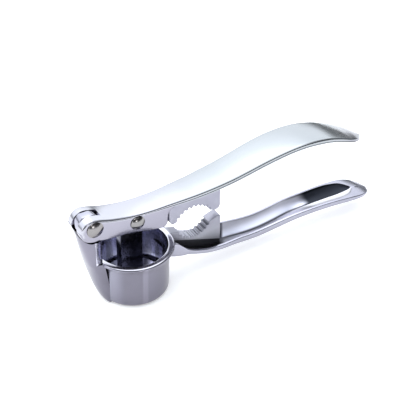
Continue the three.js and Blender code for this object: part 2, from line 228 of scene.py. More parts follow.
# %% Stack the tower
heights = np.concatenate([np.linspace(1.0, 22.5, 22), [23.5, 24.0, 24.4], np.linspace(25.5, 41.6, 24)])
stack = [(*tower_ring(z), z) for z in heights]
tower_rings = [np.stack([x, y, np.minimum(z, seat_height(x))], -1) for x, y, z in stack]
top_x, top_y, _ = stack[-1]
tower_rings += [np.stack([top_x, top_y * squeeze, seat_height(top_x)], -1)
                for squeeze in np.linspace(0.97, 0, 8)]
tower = tube_of("tower", np.array(tower_rings), 38)

# %% [markdown]
# ## The tongue
#
# A rounded tongue rises out of the tower's seat and fills the slot in the upper handle's nose. The hinge rivet
# runs through it. It is a flat plate with softly rounded edges, as the jaws, the cheeks and the stem are. A
# Bevel modifier would round them too, but it fails where an outline has very short edges, so the round is
# worked out: the same outline is set a little further in at each step towards the face.

# %% Flat pieces with rounded faces
def inset(outline, by):
    """Closed outline moved inwards: each corner goes along the mean of its two edges' inward normals."""
    ahead = np.roll(outline, -1, 0) - outline
    ahead /= np.linalg.norm(ahead, axis=1, keepdims=True) + 1e-9
    normal = np.stack([-ahead[:, 1], ahead[:, 0]], 1)
    mean = normal + np.roll(normal, 1, 0)
    mean /= np.linalg.norm(mean, axis=1, keepdims=True) + 1e-9
    area = np.sum(outline[:, 0] * np.roll(outline[:, 1], -1) - np.roll(outline[:, 0], -1) * outline[:, 1])
    stretch = 1 / np.clip(np.sum(mean * normal, axis=1), 0.6, 1)
    return outline + np.sign(area) * by * mean * stretch[:, None]


def slab(name, outline, near, far, near_round=0.3, far_round=0.3):
    """Flat piece across the press: the outline in x and z at each y, with a quarter-round at both faces. At
    angle a of the quarter-round r, the outline is inset by r (1 - sin a) and stands r (1 - cos a) inside the
    face."""
    turn = np.radians([0, 22, 45, 68, 90])
    steps = [(near + near_round * (1 - np.sin(a)), near_round * (1 - np.cos(a))) for a in turn[::-1]]
    steps += [(far - far_round * (1 - np.sin(a)), far_round * (1 - np.cos(a))) for a in turn]
    outlines = [(y, inset(outline, by)) for y, by in steps]
    return tube_of(name, np.array([np.stack([p[:, 0], np.full(len(p), y), p[:, 1]], 1) for y, p in outlines]))


square = np.array([(0, 0), (2, 0), (2, 2), (0, 2)], float)
print("a square set in by 0.5:", inset(square, 0.5).round(2).tolist())

# %% Tongue
heel = HINGE[0] - 0.8
tongue = slab("tongue", np.concatenate([
    [(heel, 18), (-16.8, 18), (-16.8, HINGE[1] - 6.0)],
    arc(HINGE, 4.8, 0, 92, 20), arc(HINGE, 6.2, 128, 205, 18),
    [(heel, HINGE[1] - 8.6)],
]), -TONGUE_HALF, TONGUE_HALF, 0.35, 0.35)

# %% [markdown]
# ## The lower handle's path and measures
#
# The lower handle is a trough that rises out of the cup's front: a thin lip all round, a valley inside, and a
# keel below. A curve with a bevel could sweep one fixed section, but here the section changes all the way
# along. So each ring is the same recipe with other measures: half width, land, valley depth and keel depth.
# Those measures are smooth curves of the distance along the press.

# %% Smooth curves through stations
def smooth_line(xs, ys, x):
    """Cubic curve through (xs, ys): each piece is a Hermite cubic whose end slopes are the mean slopes of the
    two neighbouring pieces."""
    xs, ys, x = (np.asarray(v, float) for v in (xs, ys, x))
    slope = np.gradient(ys, xs)
    k = np.clip(np.searchsorted(xs, x) - 1, 0, len(xs) - 2)
    h = xs[k + 1] - xs[k]
    t = np.clip((x - xs[k]) / h, 0, 1)
    a, b = 2 * t**3 - 3 * t**2 + 1, 3 * t**2 - 2 * t**3
    return a * ys[k] + b * ys[k + 1] + h * ((t**3 - 2 * t**2 + t) * slope[k] + (t**3 - t**2) * slope[k + 1])


print("half way between stations 0, 1, 4:", smooth_line([0, 1, 2], [0, 1, 4], [0.5, 1.5]))

# %% The lower handle's stations
low_x = np.concatenate([np.linspace(15.5, 112, 90), 112 + 17.9 * np.sin(np.linspace(0, np.pi / 2, 34))[1:]])
low_z = smooth_line(
    [15, 18.1, 21.2, 23.8, 26.5, 31.8, 37.2, 42.6, 52, 60, 68, 76, 84, 92, 100, 106, 112, 118, 124, 131],
    [24, 23.0, 20.0, 17.4, 15.7, 13.5, 12.2, 11.6, 11.2, 10.5, 10.4, 11.1, 11.9, 12.1, 12.0, 11.8, 11.3, 10.6,
     9.2, 6.6], low_x)
low_half = smooth_line(
    [15, 20, 30, 38, 46, 52, 60, 68, 76, 84, 92, 100, 106, 112, 118, 122],
    [10.0, 9.6, 8.9, 8.8, 8.4, 7.9, 7.3, 6.8, 6.8, 7.1, 7.3, 7.5, 7.8, 8.0, 8.1, 8.0], low_x)
low_tip = np.clip((low_x - 118) / 11.92, 0, 1)
low_half = low_half * np.sqrt(np.clip(1 - low_tip**2.2, 0.0004, 1))
low_land = smooth_line([15, 40, 70, 90, 104, 112, 118, 121.5, 131],
                       [1.1, 1.2, 1.3, 1.3, 1.4, 1.9, 3.9, 7.4, 8.5], low_x)
low_depth = smooth_line([15, 22, 30, 42, 52, 62, 74, 86, 96, 106, 114, 119, 122.0, 131],
                        [1.5, 2.6, 2.6, 3.6, 4.2, 4.3, 4.1, 3.4, 3.1, 2.9, 2.4, 1.4, 0.08, 0.0], low_x)
low_keel = smooth_line([15, 19, 22, 24, 26, 28, 31, 42, 52, 62, 74, 86, 100, 112, 122, 131],
                       [9.5, 9.5, 8.4, 6.4, 5.0, 4.4, 4.2, 4.9, 5.4, 5.4, 5.1, 4.5, 4.0, 3.4, 2.5, 1.8], low_x)
print("lower handle from", low_x[0], "to", low_x[-1], "mm")

# %% [markdown]
# ## The lower handle's section
#
# One half of the section is drawn and then mirrored: up the valley from the middle, over the rounded lip, down
# the thin wall and under the keel back to the middle. A Mirror modifier would do as much, but mirroring the
# points at once gives closed rings that the sweep can use. The wall is thicker at the root, where the casting
# flows into the cup, and there the rings stop at the cup's bore, so nothing of the handle shows inside it.

# %% Sweep along a path
def along_path(path_x, path_z, section):
    """Rings standing square to a path in the middle plane. The unit tangent is (tx, tz), and a section point
    (y, n) goes to path + y across + n (-tz, tx)."""
    tx, tz = np.gradient(path_x), np.gradient(path_z)
    length = np.hypot(tx, tz)
    tx, tz = (tx / length)[:, None], (tz / length)[:, None]
    y, n = section[..., 0], section[..., 1]
    return np.stack([path_x[:, None] - tz * n, y, path_z[:, None] + tx * n], -1)


def mirrored(half):
    """Whole section from its half with y >= 0, both ends of which lie on the middle plane."""
    other = half[:, ::-1][:, 1:-1] * np.array([-1, 1])
    return np.concatenate([half, other], 1)


print("a section of 5 half points has", mirrored(np.zeros((1, 5, 2))).shape[1], "points all round")

# %% Lower handle
along, width, land, depth, keel = (v[:, None] for v in (low_x, low_half, low_land, low_depth, low_keel))
edge = np.minimum(0.45, width * 0.4 + 0.02)
valley = np.maximum(width - land, 0.06 * width)
q = np.linspace(0, np.pi / 2, 13)[None]
steep = 1.75 - 0.65 * np.clip((along - 84) / 14, 0, 1)
valley_y, valley_n = valley * np.cos(q) ** steep, -depth * np.sin(q) ** steep
turn = np.radians(np.linspace(90, 0, 5))[None]
lip_y, lip_n = width - edge + edge * np.cos(turn), -edge + edge * np.sin(turn)
side = 1.2 + 0.7 * np.clip((along - 48) / 16, 0, 1) + 3.6 * np.clip((25.5 - along) / 5, 0, 1)
side = np.minimum(side, keel * 0.6)
k = np.linspace(0.08, 1, 12)[None]
keel_y, keel_n = width * (1 - k**2.4) ** 0.8, -side - (keel - side) * k**0.9
half = np.stack([np.concatenate([valley_y[:, ::-1], lip_y, width + 0 * side, keel_y], 1),
                 np.concatenate([valley_n[:, ::-1], lip_n, -side, keel_n], 1)], -1)
half[:, [0, -1], 0] = 0
low_rings = along_path(low_x, low_z, mirrored(half))
outside = np.sqrt(np.clip(ROOT**2 - low_rings[..., 1] ** 2, 0, None))
low_rings[..., 0] = np.maximum(low_rings[..., 0], outside)
lower_grip = tube_of("lower_grip", low_rings, 40)

# %% [markdown]
# ## The jaws
#
# Between the cup and the grips both handles carry a toothed jaw that cracks nuts: a plain web whose edge is cut
# on an arc. A Boolean with a gear-shaped cutter would make such teeth. A wave on the arc does it in one line
# and leaves clean faces, so each web is a flat slab whose outline holds the teeth.

# %% Teeth on an arc
def toothed(height, radius, start, end, teeth=9, deep=1.0):
    """Arc about the jaws' middle with a wave on it: radius minus half the depth times a sharpened cosine."""
    a = np.linspace(0, 1, teeth * 6 + 1)
    wave = np.cos(2 * np.pi * teeth * a)
    reach = radius - deep / 2 * np.sign(wave) * np.abs(wave) ** 0.6
    angle = np.radians(start + (end - start) * a)
    return np.stack([JAW_MIDDLE + reach * np.cos(angle), height + reach * np.sin(angle)], 1)


print("lower teeth:", toothed(*LOWER_BOWL, -30, -150).shape[0], "points on the arc")

# %% Lower and upper jaw
lower_jaw = slab("lower_jaw", np.concatenate([
    [(JAW_START, 14.6), (JAW_START + 4, 13.4), (30, 9.9), (37, 7.9), (JAW_END - 0.3, 6.9)],
    [(JAW_END, 24.2), (JAW_END - 0.4, 24.6), (JAW_END - 2.2, 24.4)],
    toothed(*LOWER_BOWL, -30, -150),
    [(JAW_START + 1, 24.2), (JAW_START - 1.2, 23.5)],
]), -JAW_HALF, JAW_HALF)

upper_jaw = slab("upper_jaw", np.concatenate([
    [(JAW_START, 43.4), (JAW_START - 0.2, 31)],
    arc((JAW_START + 2.2, 30.4), 1.6, 200, 300, 6),
    toothed(*UPPER_BOWL, 148, 32),
    arc((JAW_END - 2.6, 31.0), 2.4, 240, 355, 9),
    [(JAW_END, 46.0), (JAW_MIDDLE, 44.4)],
]), -JAW_HALF, JAW_HALF)

# %% [markdown]
# ## The upper handle's path and measures
#
# The upper handle is a wide, softly crowned plate with a turned-down edge. It could be a subdivided plane bent
# along a curve. Here it is one sweep, as the lower handle is, because its path also has to wrap round the nose
# behind the hinge and its width has to change exactly where the hand holds it.

# %% The upper handle's stations
nose = np.radians(np.linspace(205, 97, 26))
nose_r = 5.0 + 2.1 * np.clip((nose - np.pi / 2) / (np.pi / 2), 0, 1) ** 0.9
run_x = np.concatenate([np.linspace(-20.5, 108, 120), 108 + 15.9 * np.sin(np.linspace(0, np.pi / 2, 34))[1:]])
run_z = smooth_line(
    [-21, -18.5, -15, -8, 0, 8, 16, 24, 32, 40, 48, 56, 64, 72, 80, 88, 96, 102, 108, 112, 116, 119, 124],
    [49.6, 49.0, 47.8, 46.1, 44.9, 44.5, 44.6, 45.0, 45.5, 46.4, 47.5, 49.1, 50.9, 52.3, 53.1, 53.1, 52.0, 50.5,
     48.2, 46.4, 44.4, 42.9, 40.2], run_x)
up_x = np.concatenate([HINGE[0] + nose_r * np.cos(nose), run_x])
up_z = np.concatenate([HINGE[1] + nose_r * np.sin(nose), run_z])
up_half = smooth_line(
    [-30, -22, 8, 16, 24, 32, 40, 48, 56, 64, 72, 80, 88, 96, 102, 108, 112, 116, 120, 124],
    [6.6, 6.6, 6.6, 6.8, 7.4, 7.9, 8.4, 8.7, 9.0, 9.3, 9.5, 9.5, 9.4, 9.0, 8.5, 7.9, 7.5, 7.1, 6.8, 6.5], up_x)
up_tip = np.clip((up_x - 113.5) / 10.45, 0, 1)
up_half = up_half * np.sqrt(np.clip(1 - up_tip**2.1, 0.0004, 1))
flange = smooth_line([-30, -20, 10, 24, 50, 80, 105, 116, 124],
                     [1.7, 1.8, 2.0, 2.6, 2.8, 2.8, 2.6, 2.2, 1.4], up_x)
print("upper handle from", round(up_x.min(), 1), "to", round(up_x.max(), 1), "mm")

# %% [markdown]
# ## The upper handle's section
#
# The half section runs over the crown, round the edge, down the flange with a bead on it, and back under the
# plate. A Solidify modifier would give a plate its thickness but neither flange nor bead, and the bead catches
# the dark line that runs along the handle's side. At the back the handle splits into two arms, one each side
# of the slot for the tower's tongue, and the arms use the same measures.

# %% Upper handle
CROWN, PLATE = 0.30, 1.2
width, drop = up_half[:, None], flange[:, None]
small = np.minimum(1, width / 3)
a = np.linspace(0, 1, 9)[None]
turn = np.radians(np.linspace(90, 0, 7))[None][:, 1:]
crown_y, crown_n = (width - small) * a, -CROWN * a**2 * small
edge_y, edge_n = width - small + small * np.cos(turn), -CROWN * small - small + small * np.sin(turn)
bead = np.array([(0.00, 0.60), (0.3, 0.64), (0.3, 0.74), (0.02, 0.78), (0.02, 0.94), (0.3, 1.0)])
bead_y, bead_n = width - bead[None, :, 0] * small, -drop * bead[None, :, 1]
inner = np.maximum(width - 1.5, 0.3 * width)
under_y = np.concatenate([inner, inner * 0.98, inner * 0.7, 0 * width], 1)
under_n = np.concatenate([-drop, -1.5 * small, -PLATE * small, -PLATE * small], 1)
half = np.stack([np.concatenate([crown_y, edge_y, bead_y, under_y], 1),
                 np.concatenate([crown_n, edge_n, bead_n, under_n], 1)], -1)
slot_end = int(np.searchsorted(run_x, -16.5)) + len(nose)
upper_grip = tube_of("upper_grip", along_path(up_x, up_z, mirrored(half))[slot_end:], 40)

# %% The two arms
arm_y = SLOT_HALF + (width - small - SLOT_HALF) * a
arm_n = -CROWN * (arm_y / (width - small)) ** 2 * small
arm = np.stack([np.concatenate([arm_y, edge_y, bead_y, SLOT_HALF + 0 * width], 1),
                np.concatenate([arm_n, edge_n, bead_n, -drop], 1)], -1)
arms = [tube_of(f"fork_{name}", along_path(up_x, up_z, arm * (sign, 1))[:slot_end + 1], 40)
        for name, sign in (("far", 1), ("near", -1))]

# %% [markdown]
# ## The cheeks
#
# The cheeks hang from the arms and carry both rivets. Each is a slab from the slot to the side of the head. Its
# outline is the round nose about the hinge, a long, gently falling lower edge, and a rounded front corner that
# sweeps up into the flange. Sweeping them with the handle would stretch the section far too tall, so they are
# pieces of their own that sit inside the plate's metal along their top.

# %% The cheek's outline
top_x = np.linspace(20, -19, 14)
back_r, back_turn = 4.3 + 1.9 * np.linspace(0.1, 1, 8), np.radians(np.linspace(105, 178, 8))
below_x = np.linspace(-18.9, 12.6, 24)
below_z = smooth_line([-20, -17, -14, -9, -4, 0.8, 5, 9, 12.6],
                      [37.75, 36.9, 36.4, 36.0, 35.5, 34.5, 33.4, 32.6, 32.3], below_x)
cheek_outline = np.concatenate([
    np.stack([top_x, smooth_line(run_x, run_z, top_x) - 0.9], 1),
    arc(HINGE, 4.2, 92, 100, 2),
    HINGE + back_r[:, None] * np.stack([np.cos(back_turn), np.sin(back_turn)], 1),
    arc(HINGE, NOSE, 186, 285, 22),
    np.stack([below_x, below_z], 1),
    arc((13.2, 34.6), 2.3, -82, 0, 8),
    [(15.6, 37.2)],
    arc((19.6, 37.4), 3.9, 178, 105, 9),
    [(20.0, 41.8)],
])
print(len(cheek_outline), "points round a cheek")

# %% Cheeks
cheeks = [slab("cheek_near", cheek_outline, -HEAD_HALF + 0.2, -SLOT_HALF, 0.7, 0.15),
          slab("cheek_far", cheek_outline, SLOT_HALF, HEAD_HALF - 0.2, 0.15, 0.7)]

# %% [markdown]
# ## The plunger
#
# A flat stem with a round eye hangs from the second pin, and a piston at its foot pushes through the bore. The
# two could be one mesh. Kept as two they are simpler: the stem is a slab like the jaws, the piston is turned
# like the cup, and the stem's foot ends inside the piston.

# %% Plunger
stem = slab("plunger_stem", np.concatenate([
    [(-6.8, 5.6), (4.4, 5.6), (4.4, PIN[1] - 7.0), (3.1, PIN[1] - 1.2)],
    arc(PIN, 3.1, 0, 180, 20),
    [(-3.1, PIN[1] - 1.2), (-6.8, PIN[1] - 7.0)],
]), -TONGUE_HALF, TONGUE_HALF, 0.4, 0.4)
piston = turned("piston", [(0, 3.9), (13.2, 3.9), (13.7, 4.15), (13.8, 4.5), (13.8, 5.6), (13.6, 5.95),
                           (13.2, 6.1), (0, 6.1)], at=(-0.3, 0))

# %% [markdown]
# ## The rivets
#
# Each rivet is a domed head on a shank, with a domed cap pressed on the far end. A squashed half sphere would
# meet the cheek at a right angle, so the dome is a slice of a larger sphere. A narrow round at its foot catches a thin
# dark line, which sets the rivet off from the cheek.

# %% A dome and its shank
def dome(radius, rise):
    """Sphere slice from its crown to its foot: (R sin a, rise - R (1 - cos a)), where the sphere's radius R is
    (r^2 + rise^2) / (2 rise)."""
    ball = ((radius - 0.2) ** 2 + rise**2) / (2 * rise)
    a = np.linspace(0, np.arcsin((radius - 0.2) / ball), 16)
    return np.concatenate([np.stack([ball * np.sin(a), 0.25 + rise - ball * (1 - np.cos(a))], 1),
                           [(radius, 0.15), (radius - 0.1, 0.0)]])


def rivet_pair(name, at, shank, radius, rise=1.3):
    """Head with shank towards +Y, and cap on the far side, both on the axis through the given point."""
    face = HEAD_HALF + 0.02
    shank_end = [(shank, -face), (shank, face + 0.5), (0, face + 0.5)]
    pocket = [(shank + 0.08, face), (shank + 0.08, face + 0.58), (0, face + 0.58)]
    head = dome(radius, rise) * (1, -1) - (0, face)
    return (turned(name, [*head, *shank_end], 64, "y", at),
            turned(name + "_cap", [*(dome(radius, rise) + (0, face)), *pocket], 64, "y", at))


print("a dome 8 mm wide stands", round(float(dome(4.0, 1.3)[0, 1]), 2), "mm proud")

# %% Rivets
hinge_rivet, hinge_cap = rivet_pair("hinge_rivet_dome", HINGE, 2.2, 4.0)
plunger_rivet, plunger_cap = rivet_pair("plunger_rivet_dome", PIN, 1.7, 3.5)

# %% [markdown]
# ## Sums in a shader
#
# A finish is a tree of nodes, and its sums are easier to read as Python than as a chain of Math nodes. A small
# class wraps a socket and turns +, - and * into nodes. Every other node comes from one helper, which sets the
# node's settings first and then its sockets.

# %% A socket that adds and multiplies
class Sock:
    """A shader socket that can be added, multiplied and so on. Each operation adds one Math node."""

    def __init__(self, tree, socket):
        self.tree, self.socket = tree, socket

    def _math(self, operation, *values):
        return node(self.tree, "ShaderNodeMath", {"operation": operation}, dict(enumerate(values)))

    def __add__(self, other):
        return self._math("ADD", self, other)

    def __mul__(self, other):
        return self._math("MULTIPLY", self, other)

    def __sub__(self, other):
        return self._math("SUBTRACT", self, other)

    def __rsub__(self, other):
        return self._math("SUBTRACT", other, self)

    __radd__, __rmul__ = __add__, __mul__

    def over(self, lo, hi):
        """0 below lo, 1 above hi, smooth between."""
        return node(self.tree, "ShaderNodeMapRange", {"interpolation_type": "SMOOTHSTEP"},
                    {"Value": self, "From Min": lo, "From Max": hi})


def node(tree, kind, settings=None, values=None, out=0):
    """New node: its settings first, then its sockets' values or links. Returns one output as a Sock."""
    made = tree.nodes.new(kind)
    for key, value in (settings or {}).items():
        setattr(made, key, value)
    for key, value in (values or {}).items():
        if isinstance(value, Sock):
            tree.links.new(value.socket, made.inputs[key])
        else:
            made.inputs[key].default_value = value
    return Sock(tree, made.outputs[out])


print("a socket can now be added, subtracted and multiplied")

# %% Place, noise and blends
def here(tree):
    """The point on the piece, in metres, in Object coordinates."""
    return node(tree, "ShaderNodeTexCoord", out=3)


def noise(tree, scale, detail=3.0, stretch=(1, 1, 1)):
    """Cloudy pattern about 0.5 in Object coordinates, its grains longest where the stretch is smallest."""
    place = node(tree, "ShaderNodeMapping", values={"Vector": here(tree), "Scale": stretch})
    return node(tree, "ShaderNodeTexNoise", values={"Vector": place, "Scale": scale, "Detail": detail})


def blend(tree, part, first, second):
    """Colour between two colours or colour sockets: the first at part 0, the second at part 1."""
    first, second = (c if isinstance(c, Sock) else (*c, 1) for c in (first, second))
    return node(tree, "ShaderNodeMix", {"data_type": "RGBA"}, {0: part, 6: first, 7: second}, out=2)


print("patterns read the point on the piece, so they stay on the metal")

# %% [markdown]
# ## Plated finish
#
# Chrome on a die casting is bright but never perfect: long soft waves left by polishing, fine hair scratches
# along the press, and a faint haze. All three follow Object coordinates, so they stay on the metal. Inside the
# cup the bore is painted brighter, with upright bands: a painted reflection of the light that bounces about in
# it. The castings also carry fades from one tone to another. Those are not part of real plate: they are
# painted reflections and painted shade, which stand for soft reflections of a larger room than this studio
# has, and they stay on the metal when it turns. An image texture could hold all of this, but a formula needs
# no unwrapping.

# %% Fades and the bore
X, Y, Z = (1, 0, 0), (0, 1, 0), (0, 0, 1)


def fade(tree, direction, start, end):
    """0 at start and 1 at end, both in metres along a direction: the dot product with it, smoothed."""
    along = node(tree, "ShaderNodeVectorMath", {"operation": "DOT_PRODUCT"},
                 {0: here(tree), 1: direction}, out=1)
    return along.over(start, end) if end > start else 1 - along.over(end, start)


def bore_mask(tree):
    """1 inside the bore: less than the bore's radius from the Z axis, above the floor and below the mouth."""
    flat = node(tree, "ShaderNodeVectorMath", {"operation": "MULTIPLY"}, {0: here(tree), 1: (1, 1, 0)})
    away = node(tree, "ShaderNodeVectorMath", {"operation": "LENGTH"}, {0: flat}, out=1)
    return (1 - away.over(0.0163, 0.0165)) * fade(tree, Z, 0.0031, 0.0034) * fade(tree, Z, 0.0237, 0.0232)


print("axes for the fades:", X, Y, Z)

# %% Plated metal
def plated(name, light, dark, rough, haze=0.06, waves=0.25, bore=None, painted_light_ramps=(), metal=1.0):
    """Polished plate: colour between two tones by a soft noise, roughness from a haze, and a bump from long
    waves and hair scratches. Each fade is a direction, two distances along it in metres and the tone reached
    at the second one; the fades are painted light, reflections and shade laid on the casting. With bore, the
    inside of the cup takes that brighter tone with upright bands instead, a painted reflection."""
    material = bpy.data.materials.new(name)
    material.use_nodes = True
    tree = material.node_tree
    shader = tree.nodes["Principled BSDF"]
    shader.inputs["Metallic"].default_value = metal
    soft, hair, blotch = noise(tree, 40), noise(tree, 4200, 2, (0.06, 1, 1)), noise(tree, 260, 4)
    colour = blend(tree, soft.over(0.3, 0.7), dark, light)
    for direction, start, end, tone in painted_light_ramps:
        colour = blend(tree, fade(tree, direction, start, end), colour, tone)
    # Painted reflection: inside the bore the cup is painted brighter, with upright bands, for light that bounces about
    # in it.
    if bore:
        bore_reflection_band = noise(tree, 300, 2, (1, 1, 0.05)).over(0.35, 0.7)
        bore_reflection_tone = blend(tree, bore_reflection_band, bore, np.array(bore) * (1.7, 1.7, 1.9))
        colour = blend(tree, bore_mask(tree), colour, bore_reflection_tone)
    roughness = rough + haze * blotch.over(0.35, 0.75) + 0.03 * hair
    height = waves * soft + 0.012 * hair + 0.02 * blotch
    bump = node(tree, "ShaderNodeBump", values={"Strength": 0.22, "Distance": 0.0004, "Height": height})
    for name_of_input, value in (("Base Color", colour), ("Roughness", roughness), ("Normal", bump)):
        tree.links.new(value.socket, shader.inputs[name_of_input])
    print("finish", name)
    return material


lower_finish = plated("satin_chrome", (0.36, 0.355, 0.42), (0.31, 0.305, 0.37), 0.12)
print(len(lower_finish.node_tree.nodes), "nodes in the lower casting's own finish")

# %% [markdown]
# ## The press's finishes and painted light
#
# Each casting takes a light and a dark tone that are close together, a cool grey for chrome and a warmer one
# for the nickel rivets. Many of the other tones are painted light. The cup and the tower are a darker copy of
# the chrome, painted shade, and the cup has faint upright bands, painted reflections, and a painted highlight
# on its rim. The tower's front corners carry a painted highlight. The plate is painted darker along the grip
# and towards its tip, and its far edge and the cheeks are darker copies of its chrome, painted shade. The
# lower jaw is painted brighter towards its foot, and the foot itself and one flank of each lower tooth are
# painted dark, painted shadow. The trough's two sides carry painted reflections and painted shade that fade
# along the handle. One chrome for everything would be simpler and truer to the real plate, but this studio
# alone doesn't give it all those tones. The lower jaw is only partly metallic, which keeps its flat face from
# mirroring the bright paper.

# %% Finishes and painted light for the cup and the lower handle
# Painted shade: the tower takes a darker copy of the lower casting's chrome.
tower_painted_shade = plated("painted_shade_tower", (0.205, 0.195, 0.24), (0.175, 0.167, 0.205), 0.15)
# Painted highlight: the tower's front corners above the rim take a much brighter copy of the chrome.
tower_corner_highlight = plated("painted_highlight_tower_corners", (0.70, 0.69, 0.80), (0.62, 0.61, 0.72), 0.2)
# Painted light: the cup is a darker copy of the chrome, painted shade, with faint upright bands that are painted
# reflections, a painted highlight on the rim's top and the bore's painted reflection.
cup_painted_light = plated(
    "painted_light_cup", (0.205, 0.195, 0.24), (0.175, 0.167, 0.205), 0.15, bore=(0.44, 0.44, 0.52),
    painted_light_ramps=[(X, -0.0105, -0.0145, (0.245, 0.24, 0.295)), (X, -0.0042, -0.0032, (0.235, 0.225, 0.275)),
           (X, -0.0018, -0.0006, (0.19, 0.182, 0.225)), (Z, 0.0236, 0.0239, (0.48, 0.47, 0.53))])
# Painted light: the lower jaw is painted brighter towards its foot, and below a slanting line the foot is painted
# near-black, a painted shadow.
low_jaw_painted_light = plated(
    "painted_light_low_jaw", (0.33, 0.325, 0.385), (0.29, 0.285, 0.345), 0.36, haze=0.08, metal=0.45,
    painted_light_ramps=[(Z, 0.022, 0.012, (0.50, 0.50, 0.56)), ((0.354, 0, 1), 0.0271, 0.0266, (0.05, 0.05, 0.06))])
# Painted shade: one flank of each lower tooth takes a near-black tone.
tooth_painted_shade = plated("tooth_shade", (0.12, 0.12, 0.14), (0.09, 0.09, 0.11), 0.4)
# Painted light: on the trough's far side a bright band is a painted reflection, the crease is painted shade, the end
# towards the tip is painted near-black and the part beside the lower jaw is a painted shadow.
trough_far_painted_light = plated(
    "trough_far_painted_light", (0.42, 0.41, 0.48), (0.37, 0.36, 0.43), 0.34,
    painted_light_ramps=[(Y, 0.0050, 0.0016, (0.85, 0.86, 1.0)), (Y, 0.0013, 0.0006, (0.10, 0.10, 0.12)),
           (X, 0.092, 0.098, (0.02, 0.022, 0.03)), ((0.857, -0.515, 0), 0.0416, 0.0404, (0.07, 0.07, 0.09))])
# Painted shade: the trough's near side is near-black beside the lower jaw, then fades to grey and lighter grey towards
# the tip, painted reflections.
trough_near_painted_shade = plated(
    "trough_near_painted_shade", (0.09, 0.09, 0.105), (0.07, 0.07, 0.085), 0.30,
    painted_light_ramps=[(X, 0.048, 0.058, (0.42, 0.41, 0.47)), (X, 0.088, 0.1, (0.62, 0.61, 0.66))])

# %% Finishes and painted light for the upper handle, the plunger and the rivets
# Painted light: the plate is the lit copy of the upper casting's chrome, and it is painted darker along the grip and
# towards its tip, painted shade.
plate_painted_light = plated(
    "painted_light_plate", (0.43, 0.425, 0.475), (0.40, 0.395, 0.445), 0.12,
    painted_light_ramps=[(X, 0.0, 0.045, (0.33, 0.343, 0.365)), (X, 0.106, 0.120, (0.26, 0.26, 0.29))])
# Painted shade: the plate's far edge takes a darker copy of its chrome.
far_edge_painted_shade = plated("painted_shade_far_edge", (0.26, 0.26, 0.29), (0.23, 0.23, 0.26), 0.16)
# Painted shade: the cheeks take a darker copy of the upper casting's chrome.
cheek_painted_shade = plated("painted_shade_cheeks", (0.315, 0.302, 0.36), (0.285, 0.275, 0.33), 0.11)
jaw_finish = plated("matte_chrome", (0.34, 0.335, 0.395), (0.30, 0.295, 0.355), 0.34, haze=0.08)
plunger_finish = plated("dark_chrome", (0.16, 0.16, 0.20), (0.11, 0.11, 0.14), 0.14)
piston_finish = plated("piston_chrome", (0.60, 0.60, 0.66), (0.46, 0.46, 0.52), 0.16)
rivet_finish = plated("nickel", (0.25, 0.232, 0.235), (0.23, 0.224, 0.222), 0.14, waves=0.1)

# %% [markdown]
# ## Riding on the frame
#
# Each piece names the body it moves with, the node it stands for and its material slot. The castings' separate
# surfaces overlap inside the metal, so together they look like one casting. Joining them with a Boolean would
# make truly one mesh, at the price of long thin faces along every seam, which show up in plated metal.

# %% Ride, replace, finish
for body, slot, stands_for, finish, made in (
    ("lower_body", "lower_casting", "cup_and_lower_handle", lower_finish, [tongue, lower_grip]),
    ("lower_body", "lower_casting", "cup_and_lower_handle", low_jaw_painted_light, [lower_jaw]),
    ("handle", "upper_casting", "upper_handle", jaw_finish, [upper_jaw]),
    ("lower_body", "lower_casting", "cup_and_lower_handle", cup_painted_light, [cup]),
    ("lower_body", "lower_casting", "cup_and_lower_handle", tower_painted_shade, [tower]),
    ("handle", "upper_casting", "upper_handle", plate_painted_light, [upper_grip, *arms]),
    ("handle", "upper_casting", "upper_handle", cheek_painted_shade, cheeks),
    ("press", "plunger", "plunger", plunger_finish, [stem]),
    ("press", "plunger", "plunger", piston_finish, [piston]),
    ("handle", "rivets", "hinge_rivet", rivet_finish, [hinge_rivet]),
    ("handle", "rivets", "hinge_rivet_cap", rivet_finish, [hinge_cap]),
    ("handle", "rivets", "plunger_rivet", rivet_finish, [plunger_rivet]),
    ("handle", "rivets", "plunger_rivet_cap", rivet_finish, [plunger_cap]),
):
    for piece in made:
        piece.data.materials.clear()
        piece.data.materials.append(finish)
        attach(piece, body)
        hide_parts(stands_for)
    print(stands_for, "is shown by", [piece.name for piece in made])

# %% [markdown]
# ## Faces with painted light of their own
#
# Some faces of a casting carry painted light: painted reflections and painted shade on the two sides of the
# trough, painted shade on the plate's far edge and on one flank of each lower tooth, and a painted highlight
# on the front corners of the tower. Painting them by hand would have to be done again after every change.
# Instead each face is chosen by where its middle lies and which way it looks, and takes the number of its
# material.

# %% Choose faces
def face_table(piece):
    """Middles in millimetres and unit normals of all faces, one row each."""
    faces = piece.data.polygons
    middle, normal = np.empty(3 * len(faces)), np.empty(3 * len(faces))
    faces.foreach_get("center", middle)
    faces.foreach_get("normal", normal)
    return middle.reshape(-1, 3) / MM, normal.reshape(-1, 3)


def give(piece, number, *painted_light_materials):
    """Add the painted light materials to the piece's materials, and give each face its number: 0 keeps the first
    material.
    """
    for finish in painted_light_materials:
        piece.data.materials.append(finish)
    piece.data.polygons.foreach_set("material_index", np.asarray(number).astype(np.int32))
    print(f"{piece.name}: {np.count_nonzero(number)} faces with their own finish")


print(len(face_table(cup)[0]), "faces in the cup's table")

# %% The trough's two sides
middle, normal = face_table(lower_grip)
room = np.interp(middle[:, 0], low_x, low_half - low_land)
# Painted light: the trough's faces take the painted reflections and painted shade, one material for each side.
trough = (np.abs(middle[:, 1]) < room) & (normal[:, 2] > 0) & (middle[:, 0] > 20) & (middle[:, 0] < 121)
give(lower_grip, trough * np.where(middle[:, 1] > 0, 1, 2), trough_far_painted_light, trough_near_painted_shade)

